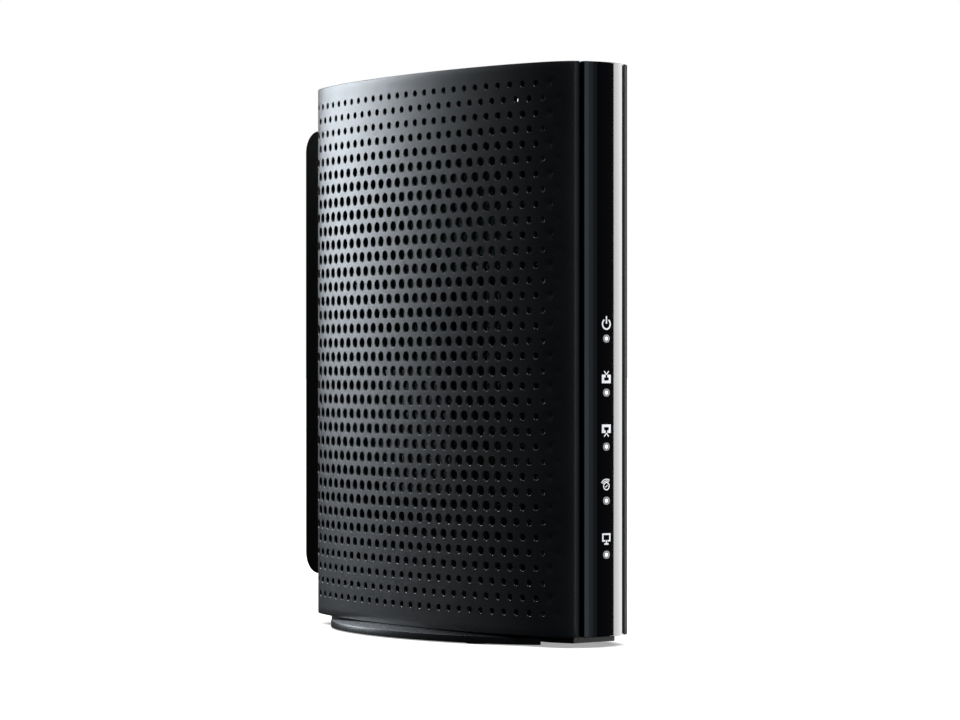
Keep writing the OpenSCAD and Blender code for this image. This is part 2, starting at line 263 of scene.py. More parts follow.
BLACK = (0.012, 0.012, 0.013)
MATERIALS = {
    "panel": plastic("panel_plastic", (0.021, 0.021, 0.022), 0.33, grain_scale=2400, grain_height=0.05 * MM),
    "cap": plastic("cap_plastic", BLACK, 0.3),
    "frame": plastic("frame_plastic", (0.016, 0.016, 0.017), 0.5),
    "strip": plastic("strip_gloss", (0.004, 0.004, 0.005), 0.07, spread=0.05, grain_height=0.0006 * MM,
                     coat=0.6, rough_spread=0.012),
    "guide": plastic("guide_clear", (0.8, 0.82, 0.84), 0.2),
    "housing": plastic("housing_gloss", (0.008, 0.008, 0.009), 0.08, grain_height=0.001 * MM, coat=0.3,
                       rough_spread=0.01),
    "plate": plastic("plate_plastic", (0.013, 0.013, 0.014), 0.48),
    "stand": plastic("stand_satin", (0.012, 0.012, 0.013), 0.28, grain_height=0.012 * MM),
    "foot": plastic("foot_rubber", (0.025, 0.025, 0.025), 0.8, grain_scale=1500),
    "screw": metal("zinc", (0.55, 0.56, 0.57), 0.34),
    "board": board_material(),
    "led": plastic("led_resin", (0.85, 0.83, 0.6), 0.25),
    "chip": plastic("chip_epoxy", (0.018, 0.018, 0.02), 0.55),
    "pad": plastic("silicone_pad", (0.33, 0.38, 0.44), 0.7),
    "sink": metal("anodised", (0.62, 0.63, 0.65), 0.38, stretch=(1, 1, 0.05)),
    "can": metal("tinned", (0.6, 0.61, 0.62), 0.3),
    "capacitor": plastic("sleeve", (0.02, 0.035, 0.1), 0.3),
    "ferrite": plastic("ferrite", (0.05, 0.05, 0.055), 0.6),
    "jack_metal": metal("nickel", (0.68, 0.69, 0.7), 0.22),
    "gold": metal("gold_plate", (0.83, 0.62, 0.26), 0.2),
    "coax_metal": metal("nickel_brass", (0.68, 0.66, 0.6), 0.25),
    "insulator": plastic("insulator_white", (0.78, 0.77, 0.72), 0.45),
    "jack_plastic": plastic("jack_plastic", (0.012, 0.012, 0.013), 0.42),
    "button": plastic("button_white", (0.72, 0.72, 0.68), 0.4),
}
LIGHT_ON = glow("light_on", (0.95, 0.97, 1.0), 2.4, 0.5)
LENS_ON = glow("lens_on", (0.95, 0.96, 1.0), 0.26, 0.1)
# The hole lips are a little lighter than the panel, a painted highlight on the holes' rims; they are also
# glossier.
HOLE_LIP_PAINTED_HIGHLIGHT = plastic("hole_lip_painted_highlight", (0.03, 0.03, 0.031), 0.2, grain_scale=3200, grain_height=0.004 * MM)
# The white print gives off light too: a painted glow that keeps the symbols bright whatever light falls on
# them.
PRINT_PAINTED_GLOW = glow("print_white_painted_glow", (0.97, 0.98, 1.0), 0.6, 0.6)


SLOTS = {row["node"]: row["material_slot"] for row in frame["record"]["subparts"]}


def dress_cad_nodes():
    """Gives every carried-over CAD node the material of its slot."""
    for name, node in frame["nodes"].items():
        node.data.materials.clear()
        node.data.materials.append(MATERIALS[SLOTS[name]])


# ---------------------------------------------------------------- mesh helpers
def piece(name, vertices, faces, slot, replaces=(), body="modem", smooth=True, material=None, sharp_deg=40):
    """Makes an object from plain lists, rides it on its body and dresses it."""
    mesh = bpy.data.meshes.new(name)
    mesh.from_pydata([tuple(v) for v in vertices], [], faces)
    mesh.validate()
    obj = bpy.data.objects.new(name, mesh)
    bpy.context.scene.collection.objects.link(obj)
    mesh.materials.append(material or MATERIALS[slot])
    if smooth:
        mesh.polygons.foreach_set("use_smooth", [True] * len(mesh.polygons))
        mesh.set_sharp_from_angle(angle=math.radians(sharp_deg))
    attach(obj, body)
    if replaces:
        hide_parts(*replaces)
    return obj


class Sheet:
    """A thin shell on a grid of cells, with round holes and dimples.

    u_at and v_at turn grid steps into places on the sheet, and point turns (u, v, depth into the sheet)
    into space. Both run against their steps, so a cell's first corner is at 45 degrees from its middle. A
    cell is four steps wide and four steps high, so a hole's ring has sixteen points, one for each on its
    rim.
    """
    STEPS = 4

    def __init__(self, u_at, v_at, point, thickness):
        self.u_at, self.v_at, self.point, self.thickness = u_at, v_at, point, thickness
        self.vertices, self.faces, self.grid = [], [], {}
        self.lips = []

    def add(self, u, v, k):
        self.vertices.append(self.point(u, v, k))
        return len(self.vertices) - 1

    def corner(self, a, b, inner):
        key = (a, b, inner)
        if key not in self.grid:
            self.grid[key] = self.add(self.u_at(a), self.v_at(b), self.thickness if inner else 0.0)
        return self.grid[key]

    def face(self, loop, inner):
        self.faces.append(tuple(reversed(loop)) if inner else tuple(loop))

    def plain(self, a0, a1, b0, b1):
        for inner in (False, True):
            for a in range(a0, a1):
                for b in range(b0, b1):
                    loop = [self.corner(*p, inner) for p in ((a, b), (a + 1, b), (a + 1, b + 1), (a, b + 1))]
                    self.face(loop, inner)

    def rim_keys(self, a, b):
        n = self.STEPS
        return ([(a + i, b) for i in range(n)] + [(a + n, b + i) for i in range(n)]
                + [(a + n - i, b + n) for i in range(n)] + [(a, b + n - i) for i in range(n)])

    def ring(self, a, b, radius, k):
        u, v = self.u_at(a + self.STEPS // 2), self.v_at(b + self.STEPS // 2)
        count = 4 * self.STEPS
        angles = [math.radians(45) + 2 * math.pi * i / count for i in range(count)]
        return [self.add(u + radius * math.cos(t), v + radius * math.sin(t), k) for t in angles]

    def bridge(self, outer, inner_ring, inner=False):
        n = len(outer)
        for i in range(n):
            j = (i + 1) % n
            self.face([outer[i], outer[j], inner_ring[j], inner_ring[i]], inner)

    def hole(self, a, b, radius, lip):
        """A through hole with a rounded lip."""
        rim = [self.corner(*p, False) for p in self.rim_keys(a, b)]
        loops = [rim, self.ring(a, b, radius + lip, 0.0), self.ring(a, b, radius + 0.35 * lip, 0.45 * lip),
                 self.ring(a, b, radius, lip), self.ring(a, b, radius, self.thickness)]
        for level, (outer, inner_ring) in enumerate(zip(loops, loops[1:])):
            first = len(self.faces)
            self.bridge(outer, inner_ring)
            if level in (1, 2):
                self.lips += range(first, len(self.faces))
        back = [self.corner(*p, True) for p in self.rim_keys(a, b)]
        self.bridge(back, loops[-1], inner=True)

    def dimple(self, a, b, radius, depth):
        """A shallow round dish, with a plain back."""
        rim = [self.corner(*p, False) for p in self.rim_keys(a, b)]
        loops = [rim, self.ring(a, b, radius, 0.0), self.ring(a, b, radius * 0.8, 0.45 * depth),
                 self.ring(a, b, radius * 0.5, 0.85 * depth)]
        for outer, inner_ring in zip(loops, loops[1:]):
            self.bridge(outer, inner_ring)
        self.faces.append(tuple(loops[-1]))
        for i in range(self.STEPS):
            for j in range(self.STEPS):
                cell = ((a + i, b + j), (a + i + 1, b + j), (a + i + 1, b + j + 1), (a + i, b + j + 1))
                self.face([self.corner(*p, True) for p in cell], True)

    def close(self, a0, a1, b0, b1, edge_point, steps=3):
        """Joins the outer and inner skins round the sheet's outline, with a rounded outer edge."""
        loop = ([(a, b0) for a in range(a0, a1)] + [(a1, b) for b in range(b0, b1)]
                + [(a, b1) for a in range(a1, a0, -1)] + [(a0, b) for b in range(b1, b0, -1)])
        previous = [self.corner(*p, False) for p in loop]
        for s in range(1, steps + 1):
            ring = []
            for a, b in loop:
                self.vertices.append(edge_point(a, b, s / steps))
                ring.append(len(self.vertices) - 1)
            self.bridge(ring, previous)
            previous = ring
        self.bridge([self.corner(*p, True) for p in loop], previous)


# ---------------------------------------------------------------- perforated side panels
ROW_PITCH = 4.8 * MM
COLUMN_PITCH = 2.549 * MM
MIDDLE_COLUMN = 78.5 * MM
TOP_ROW, BOTTOM_ROW = -19, 16
REAR_COLUMN, FRONT_COLUMN = -25, 28
FIRST_DIMPLE = 26
# The right panel's holes are blind up to this column, as no board stops the view through the body there.
LAST_BLIND = -21
BLIND_DEPTH = 1.0 * MM
HOLE_R = 1.6 * MM
EDGE_ROUND = 0.45 * MM


def smooth_step(t):
    t = min(1.0, max(0.0, t))
    return t * t * (3 - 2 * t)


def hole_radius(row, column):
    """Holes get smaller towards the top, the bottom and the front."""
    from_end = min(row - TOP_ROW, BOTTOM_ROW - row)
    by_row = 0.6 + 0.4 * smooth_step((from_end + 0.5) / 8)
    by_column = 0.5 + 0.5 * smooth_step((FRONT_COLUMN + 1 - column) / 14)
    return HOLE_R * min(by_row, by_column + 0.02, 1.0) * (0.94 + 0.06 * by_row * by_column)


def side_panel(side):
    border = 2
    a_low = 2 * (REAR_COLUMN - 1)
    a_high = 2 * (FRONT_COLUMN + 1)
    b_low = 4 * TOP_ROW - 2
    b_high = 4 * BOTTOM_ROW + 2
    rear, front = PANEL_REAR - EDGE_ROUND, PANEL_FRONT + EDGE_ROUND
    top, bottom = panel_high.z - EDGE_ROUND, panel_low.z + EDGE_ROUND

    def u_at(a):
        inside = max(a_low, min(a_high, a))
        depth = min(rear - 0.3 * MM, MIDDLE_COLUMN - COLUMN_PITCH * inside / 2)
        if a < a_low:
            return depth + (rear - depth) * (a_low - a) / border
        if a > a_high:
            return depth + (front - depth) * (a - a_high) / border
        return depth

    def v_at(b):
        inside = max(b_low, min(b_high, b))
        z = EYE_Z - ROW_PITCH * inside / 4
        if b < b_low:
            return z + (top - z) * (b_low - b) / border
        if b > b_high:
            return z + (bottom - z) * (b - b_high) / border
        return z

    def point(depth, z, k):
        return Vector((side * (half_width(depth) - k), FRONT_Y + depth, z))

    def edge_point(a, b, t):
        swing = math.sin(t * math.pi / 2)
        sink = 1 - math.cos(t * math.pi / 2)
        depth, z = u_at(a), v_at(b)
        if a == a_low - border:
            depth += EDGE_ROUND * swing
        if a == a_high + border:
            depth -= EDGE_ROUND * swing
        if b == b_low - border:
            z += EDGE_ROUND * swing
        if b == b_high + border:
            z -= EDGE_ROUND * swing
        return point(depth, z, EDGE_ROUND * sink)

    sheet = Sheet(u_at, v_at, point, PANEL_T)
    for row in range(TOP_ROW, BOTTOM_ROW + 1):
        b = 4 * row - 2
        columns = [c for c in range(REAR_COLUMN, FRONT_COLUMN + 1) if (c - row) % 2 == 0]
        sheet.plain(a_low - border, 2 * columns[0] - 2, b, b + 4)
        for column in columns:
            a = 2 * column - 2
            if side > 0 and column <= LAST_BLIND:
                sheet.dimple(a, b, hole_radius(row, column), BLIND_DEPTH)
            elif column >= FIRST_DIMPLE:
                fade = 0.3 - 0.11 * (column - FIRST_DIMPLE)
                sheet.dimple(a, b, hole_radius(row, column) * 1.05, fade * MM)
            else:
                sheet.hole(a, b, hole_radius(row, column), 0.2 * MM)
        sheet.plain(2 * columns[-1] + 2, a_high + border, b, b + 4)
    for b0, b1 in ((b_low - border, b_low), (b_high, b_high + border)):
        sheet.plain(a_low - border, a_high + border, b0, b1)
    sheet.close(a_low - border, a_high + border, b_low - border, b_high + border, edge_point)
    faces = sheet.faces if side > 0 else [tuple(reversed(f)) for f in sheet.faces]
    name = "right_panel" if side > 0 else "left_panel"
    panel = piece(name + "_perforated", sheet.vertices, faces, "panel", [name], sharp_deg=26)
    panel.data.materials.append(HOLE_LIP_PAINTED_HIGHLIGHT)
    # The lip faces get the lighter lip material: a painted highlight round each hole.
    for index in sheet.lips:
        panel.data.polygons[index].material_index = 1


# ---------------------------------------------------------------- sections swept along the height
def swept(name, outline_at, levels, slot, replaces=(), **keys):
    """A closed solid. outline_at(inset) is its plan, and levels lists (height, inset), bottom up."""
    vertices, faces = [], []
    for z, inset in levels:
        vertices += [Vector((x, y, z)) for x, y in outline_at(inset)]
    n = len(vertices) // len(levels)
    for level in range(len(levels) - 1):
        for i in range(n):
            j = (i + 1) % n
            faces.append((level * n + i, level * n + j, (level + 1) * n + j, (level + 1) * n + i))
    faces.append(tuple(reversed(range(n))))
    faces.append(tuple(range((len(levels) - 1) * n, len(levels) * n)))
    return piece(name, vertices, faces, slot, replaces, **keys)


def rounded_levels(low, high, radius, steps=4):
    """Heights and insets of a solid whose top and bottom edges are rounded."""
    turns = [math.pi / 2 * i / steps for i in range(steps + 1)]
    lower = [(low + radius * (1 - math.sin(t)), radius * (1 - math.cos(t))) for t in reversed(turns)]
    upper = [(high - radius * (1 - math.sin(t)), radius * (1 - math.cos(t))) for t in turns]
    return lower + upper


def crown_radius():
    half, crown = strip_high.x, STRIP_CROWN
    return (half * half + crown * crown) / (2 * crown)


def strip_face_y(x):
    """Where the front strip's crowned face is at a distance from its middle."""
    r = crown_radius()
    return FRONT_Y + STRIP_SET_BACK + r - math.sqrt(r * r - x * x)


def front_strip():
    half, back, edge = strip_high.x, strip_high.y, 0.45 * MM
    count = 40

    def outline(inset):
        reach = half - edge
        face = [(-reach + 2 * reach * i / count) for i in range(count + 1)]
        points = [(x, strip_face_y(x) + inset) for x in face]
        turns = [math.pi / 2 * i / 4 for i in range(1, 5)]
        side_y = strip_face_y(reach)
        points += [(reach + edge * math.sin(t) - inset, side_y + edge * (1 - math.cos(t)) + inset)
                   for t in turns]
        points += [(half - inset, back), (-half + inset, back)]
        points += [(-reach - edge * math.sin(t) + inset, side_y + edge * (1 - math.cos(t)) + inset)
                   for t in reversed(turns)]
        return points
    strip = swept("front_strip_gloss", outline, rounded_levels(strip_low.z, strip_high.z, 0.3 * MM), "strip",
                  ["front_strip"], sharp_deg=50)
    for i in range(LIGHT_COUNT):
        cut(strip, prism(ring_points(LIGHT_R, 48), FRONT_Y - 2 * MM, back + MM, light_z(i)))
    resharpen(strip, 50)


# ---------------------------------------------------------------- cutting and softening
def flattened(obj):
    """Applies the object's modifiers to its mesh."""
    graph = bpy.context.evaluated_depsgraph_get()
    mesh = bpy.data.meshes.new_from_object(obj.evaluated_get(graph))
    obj.modifiers.clear()
    obj.data = mesh


def raw_object(vertices, faces):
    mesh = bpy.data.meshes.new("cutter")
    mesh.from_pydata([tuple(v) for v in vertices], [], faces)
    obj = bpy.data.objects.new("cutter", mesh)
    bpy.context.scene.collection.objects.link(obj)
    return obj


def combine(obj, tool, operation):
    """Joins the tool to the object or takes it away, and removes the tool."""
    modifier = obj.modifiers.new("combine", "BOOLEAN")
    modifier.operation = operation
    modifier.solver = "EXACT"
    modifier.object = tool
    bpy.context.view_layer.update()
    flattened(obj)
    bpy.data.objects.remove(tool)


def cut(obj, tool):
    combine(obj, tool, "DIFFERENCE")


def resharpen(obj, degrees):
    """Smooth shading that keeps flat faces flat and creases sharp."""
    mesh = obj.data
    mesh.polygons.foreach_set("use_smooth", [True] * len(mesh.polygons))
    mesh.set_sharp_from_angle(angle=math.radians(degrees))
    modifier = obj.modifiers.new("shading", "WEIGHTED_NORMAL")
    modifier.keep_sharp = True
    modifier.weight = 80
    bpy.context.view_layer.update()
    flattened(obj)


def ring_points(radius, count):
    return [(radius * math.cos(2 * math.pi * i / count), radius * math.sin(2 * math.pi * i / count))
            for i in range(count)]


def prism(points, y0, y1, z):
    """A solid with the given (x, z) outline about a height, from one Y to another."""
    n = len(points)
    vertices = [(x, y, z + up) for y in (y0, y1) for x, up in points]
    faces = [(i, (i + 1) % n, n + (i + 1) % n, n + i) for i in range(n)]
    faces += [tuple(reversed(range(n))), tuple(range(n, 2 * n))]
    return raw_object(vertices, faces)


def line_socket(obj):
    """Gives the inside of the Ethernet socket its black plastic lining."""
    low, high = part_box("ethernet_socket")
    middle_z = (low.z + high.z) / 2
    obj.data.materials.append(MATERIALS["jack_plastic"])
    for polygon in obj.data.polygons:
        x, y, z = polygon.center
        inside = -6.1 * MM < x < 4.3 * MM and abs(z - middle_z) < 6.05 * MM
        if inside and low.y + MM < y < high.y - 0.3 * MM:
            polygon.material_index = 1


def softened(node, width, segments=2, degrees=30):
    """The CAD piece again with its edges rounded, as a moulded or pressed part's are."""
    mesh = bpy.data.meshes.new(node + "_finished")
    work = bmesh.new()
    work.from_mesh(frame["nodes"][node].data)
    bmesh.ops.remove_doubles(work, verts=work.verts, dist=0.002 * MM)
    bmesh.ops.dissolve_limit(work, angle_limit=math.radians(1), verts=work.verts, edges=work.edges)
    work.to_mesh(mesh)
    work.free()
    obj = bpy.data.objects.new(node + "_finished", mesh)
    bpy.context.scene.collection.objects.link(obj)
    modifier = obj.modifiers.new("edges", "BEVEL")
    modifier.width = width
    modifier.segments = segments
    modifier.limit_method = "ANGLE"
    modifier.angle_limit = math.radians(degrees)
    bpy.context.view_layer.update()
    flattened(obj)
    obj.data.materials.clear()
    obj.data.materials.append(MATERIALS[SLOTS[node]])
    if node == "ethernet_socket":
        line_socket(obj)
    resharpen(obj, 40)
    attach(obj, "reset" if node == "reset_button" else "modem")
    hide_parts(node)
    return obj


def turned(profile, count=48):
    """Points and faces of a closed solid of revolution along +Z, from a list of (radius, height)."""
    vertices = [(r * math.cos(2 * math.pi * i / count), r * math.sin(2 * math.pi * i / count), h)
                for r, h in profile for i in range(count)]
    faces = []
    for level in range(len(profile) - 1):
        for i in range(count):
            j = (i + 1) % count
            a, b = level * count, (level + 1) * count
            faces.append((a + i, a + j, b + j, b + i))
    faces.append(tuple(reversed(range(count))))
    faces.append(tuple(range((len(profile) - 1) * count, len(profile) * count)))
    return vertices, faces


def placed(vertices, place, axis):
    """Turns points drawn along +Z so that they run along an axis from a place."""
    turn = Vector((0, 0, 1)).rotation_difference(Vector(axis))
    return [turn @ Vector(v) + Vector(place) for v in vertices]


def screws(node, places, axis, head_r, head_h, shank_r, shank_l):
    """Pan head screws with a cross recess: each place is the middle of the head's underside."""
    arm, half = head_r * 0.62, head_r * 0.15
    cross = [(half, half), (half, arm), (-half, arm), (-half, half), (-arm, half), (-arm, -half),
             (-half, -half), (-half, -arm), (half, -arm), (half, -half), (arm, -half), (arm, half)]
    profile = [(shank_r * 0.5, -shank_l), (shank_r, -shank_l + shank_r)]
    pitch = shank_r * 0.36
    level = -shank_l + 2 * shank_r
    while level < -pitch:
        profile += [(shank_r * 0.84, level), (shank_r, level + pitch / 2)]
        level += pitch
    profile += [(shank_r * 0.9, -0.02 * head_h), (head_r, 0), (head_r, head_h * 0.45),
                (head_r * 0.93, head_h * 0.75), (head_r * 0.78, head_h * 0.92), (head_r * 0.5, head_h)]
    n = len(cross)
    cutter_points = [(x, y, h) for h in (head_h * 0.35, head_h * 1.5) for x, y in cross]
    cutter_faces = [(i, n + i, n + (i + 1) % n, (i + 1) % n) for i in range(n)]
    cutter_faces += [tuple(range(n)), tuple(reversed(range(n, 2 * n)))]
    vertices, faces = [], []
    for place in places:
        points, loops = turned(profile, 32)
        one = raw_object(placed(points, place, axis), loops)
        cut(one, raw_object(placed(cutter_points, place, axis), cutter_faces))
        first = len(vertices)
        vertices += [v.co.copy() for v in one.data.vertices]
        faces += [tuple(first + i for i in polygon.vertices) for polygon in one.data.polygons]
        bpy.data.objects.remove(one)
    piece(node + "_finished", vertices, faces, SLOTS[node], [node], sharp_deg=35)


# ---------------------------------------------------------------- lights and symbols on the front strip
LIGHT_COUNT = 5
FIRST_LIGHT_MM = 29.4
LIGHT_PITCH_MM = 17.1
LIGHT_R = 1.4 * MM
STROKE = 0.5 * MM


def light_z(i):
    return (FIRST_LIGHT_MM + LIGHT_PITCH_MM * i) * MM


def light_lenses():
    """Each light's frosted lens, and its brighter middle."""
    for name, radius, rise, material in (("light_lenses", LIGHT_R - 0.03 * MM, 0.0, LENS_ON),
                                         ("light_cores", 0.62 * MM, 0.02 * MM, LIGHT_ON)):
        vertices, faces = [], []
        for i in range(LIGHT_COUNT):
            crown = 0.05 * MM
            profile = [(radius, 0)] + [(radius * math.cos(t), crown * math.sin(t) + 0.01 * MM)
                                       for t in (0.0, 0.3, 0.6, 0.9, 1.2, 1.5)]
            points, loops = turned(profile)
            first = len(vertices)
            vertices += placed(points, (0, FRONT_Y + 0.09 * MM - rise, light_z(i)), (0, -1, 0))
            faces += [tuple(first + k for k in loop) for loop in loops]
        piece(name, vertices, faces, "guide", material=material)


class Print:
    """Thin raised ink strokes on the strip's crowned face. Places are (x, height) from a symbol's middle."""
    RAISED = 0.04 * MM

    def __init__(self):
        self.vertices, self.faces = [], []

    def stroke(self, points, middle_z, closed=False, width=STROKE):
        points = finer(points + points[:1] if closed else points, 0.25 * MM)
        if closed:
            points = points[:-1]
        n = len(points)
        rim = []
        for i, (x, up) in enumerate(points):
            here = Vector((x, up))
            before = Vector(points[i - 1]) if closed or i else here
            after = Vector(points[(i + 1) % n]) if closed or i < n - 1 else here
            along = ((after - here).normalized() + (here - before).normalized()).normalized()
            straight = (after - here if before == here else here - before).normalized()
            reach = width / 2 / max(0.6, along.dot(straight))
            for sign in (1, -1):
                px, pz = x - sign * along.y * reach, middle_z + up + sign * along.x * reach
                for lift in (0.03 * MM, -self.RAISED):
                    self.vertices.append((px, strip_face_y(px) + lift, pz))
            first = len(self.vertices) - 4
            rim.append((first, first + 1, first + 3, first + 2))
        pairs = list(zip(rim, rim[1:])) + ([(rim[-1], rim[0])] if closed else [])
        for a, b in pairs:
            for k in range(4):
                self.faces.append((a[k], a[(k + 1) % 4], b[(k + 1) % 4], b[k]))
        if not closed:
            self.faces.append(tuple(reversed(rim[0])))
            self.faces.append(rim[-1])


def finer(points, longest):
    """The same line with points added, so that no step is long and the line follows a curved face."""
    result = [points[0]]
    for (x0, z0), (x1, z1) in zip(points, points[1:]):
        steps = max(1, math.ceil(math.hypot(x1 - x0, z1 - z0) / longest))
        result += [(x0 + (x1 - x0) * k / steps, z0 + (z1 - z0) * k / steps) for k in range(1, steps + 1)]
    return result


def arc(radius, start, end, count=24, centre=(0, 0)):
    turns = [math.radians(start + (end - start) * i / count) for i in range(count + 1)]
    return [(centre[0] + radius * math.cos(t), centre[1] + radius * math.sin(t)) for t in turns]


def in_mm(points):
    return [(x * MM, z * MM) for x, z in points]


def front_symbols():
    """Generic symbols above the lights. From the top: power, receive, send, online, computer."""
    ink = Print()
    above = 5.0 * MM

    def tray(z, sign):
        """An open box with an arrowhead that points down into it, or the same upside down if sign is -1."""
        near, far = 0.25 * sign, -1.6 * sign
        outline = [(-0.35, near), (-1.4, near), (-1.4, far), (1.4, far), (1.4, near), (0.35, near)]
        ink.stroke(in_mm(outline), z, width=0.85 * MM)
        for x in (-0.95, 0.95):
            ink.stroke(in_mm([(x, 1.8 * sign), (0, 0.75 * sign)]), z, width=0.36 * MM)

    power_z = light_z(4) + above
    ink.stroke(in_mm(arc(1.6, 125, 415, 40, (0, -0.4))), power_z)
    ink.stroke(in_mm([(0, 2.1), (0, -0.3)]), power_z)

    tray(light_z(3) + above, 1)
    tray(light_z(2) + above, -1)

    online_z = light_z(1) + above
    ink.stroke(in_mm(arc(1.15, 0, 345, 36, (0, -0.4))), online_z, closed=True, width=0.36 * MM)
    ink.stroke(in_mm([(-0.45, -0.75), (0.45, -0.05)]), online_z, width=0.3 * MM)
    for radius in (1.75, 2.3):
        ink.stroke(in_mm(arc(radius, 55, 150, 16, (0, -0.5))), online_z, width=0.3 * MM)

    computer_z = light_z(0) + above
    screen = [(-0.5, -0.6), (-1.45, -0.6), (-1.45, 1.5), (1.45, 1.5), (1.45, -0.6), (0.5, -0.6)]
    ink.stroke(in_mm(screen), computer_z)
    ink.stroke(in_mm([(0, -0.4), (0, -1.6)]), computer_z)
    ink.stroke(in_mm([(-0.85, -1.6), (0.85, -1.6)]), computer_z)
    # The symbols' print glows with a painted glow, since ink gives off no light.
    piece("front_symbols", ink.vertices, ink.faces, "guide", material=PRINT_PAINTED_GLOW, smooth=False)


# ---------------------------------------------------------------- stand and base
WING_INNER = 12.6 * MM
RIM_DROP = 0.6 * MM
BRIDGE_HALF_W = 13.1 * MM
BRIDGE_DEPTHS = (50 * MM, 94 * MM)
STAND_SCREW_DEPTHS = (60 * MM, 84 * MM)


def wing_solid(side):
    """Half of the stand: a skirt that falls from the body to a rounded rim, and an upright edge."""
    half_w, half_l = stand_high.x, (stand_high.y - stand_low.y) / 2
    middle_y = (stand_high.y + stand_low.y) / 2
    half_l = half_l / math.sqrt(1 - (WING_INNER / half_w) ** 2)
    count = 64

    def outline(inset):
        limit = math.acos((WING_INNER + min(inset, 2 * MM)) / (half_w - inset))
        return [(side * (half_w - inset) * math.cos(t), middle_y + (half_l - inset * 1.05) * math.sin(t))
                for t in (limit * (2 * i / count - 1) for i in range(count + 1))]
    top = panel_low.z - 0.03 * MM
    rim = stand_high.z - RIM_DROP
    levels = [(stand_low.z, 0.2 * MM), (stand_low.z + 0.15 * MM, 0.0), (rim - 0.2 * MM, 0.0),
              (rim - 0.06 * MM, 0.05 * MM), (rim, 0.18 * MM), (rim + 0.05 * MM, 0.5 * MM),
              (rim + 0.2 * MM, 2.6 * MM), (rim + 0.38 * MM, 5.0 * MM), (top - 0.12 * MM, 7.6 * MM),
              (top, 8.3 * MM)]
    vertices, faces = [], []
    for z, inset in levels:
        vertices += [Vector((x, y, z)) for x, y in outline(inset)]
    n = count + 1
    for level in range(len(levels) - 1):
        for i in range(n):
            j = (i + 1) % n
            faces.append((level * n + i, level * n + j, (level + 1) * n + j, (level + 1) * n + i))
    faces.append(tuple(reversed(range(n))))
    faces.append(tuple(range((len(levels) - 1) * n, len(levels) * n)))
    if side < 0:
        faces = [tuple(reversed(f)) for f in faces]
    return raw_object(vertices, faces)


def upright(points, z0, z1):
    """A solid with the given (x, y) outline between two heights."""
    n = len(points)
    vertices = [(x, y, z) for z in (z0, z1) for x, y in points]
    faces = [(i, (i + 1) % n, n + (i + 1) % n, n + i) for i in range(n)]
    faces += [tuple(reversed(range(n))), tuple(range(n, 2 * n))]
    return raw_object(vertices, faces)


def foot_places():
    """The middles of the feet, and their radius."""
    low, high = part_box("rubber_feet")
    radius = 4.5 * MM
    places = [(x, y) for x in (low.x + radius, high.x - radius) for y in (low.y + radius, high.y - radius)]
    return places, radius


def stand_piece():
    front, back = (FRONT_Y + depth for depth in BRIDGE_DEPTHS)
    body = wing_solid(1)
    combine(body, wing_solid(-1), "UNION")
    block = [(-BRIDGE_HALF_W, front), (BRIDGE_HALF_W, front), (BRIDGE_HALF_W, back), (-BRIDGE_HALF_W, back)]
    combine(body, upright(block, stand_low.z, stand_high.z - 0.01 * MM), "UNION")
    places, radius = foot_places()
    for x, y in places:
        ring = [(x + px, y + py) for px, py in ring_points(radius, 48)]
        cut(body, upright(ring, -MM, stand_low.z + 0.4 * MM))
    for depth in STAND_SCREW_DEPTHS:
        for r, top in ((1.45 * MM, 9 * MM), (2.7 * MM, 1.9 * MM)):
            ring = [(px, FRONT_Y + depth + py) for px, py in ring_points(r, 40)]
            cut(body, upright(ring, -MM, top))
    vertices = [v.co.copy() for v in body.data.vertices]
    faces = [tuple(p.vertices) for p in body.data.polygons]
    bpy.data.objects.remove(body)
    piece("stand_winged", vertices, faces, "stand", ["stand"], sharp_deg=32)


def feet():
    """Rubber feet with a rounded rim and a shallow dish underneath."""
    places, radius = foot_places()
    low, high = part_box("rubber_feet")
    r, h = radius - 0.05 * MM, high.z - low.z
    profile = [(r * 0.55, 0.12 * MM), (r * 0.7, 0.03 * MM), (r - 0.45 * MM, 0.0), (r - 0.15 * MM, 0.06 * MM),
               (r, 0.2 * MM), (r, h)]
    vertices, faces = [], []
    for x, y in places:
        points, loops = turned(profile)
        first = len(vertices)
        vertices += placed(points, (x, y, low.z), (0, 0, 1))
        faces += [tuple(first + k for k in loop) for loop in loops]
    piece("rubber_feet_finished", vertices, faces, "foot", ["rubber_feet"], sharp_deg=50)


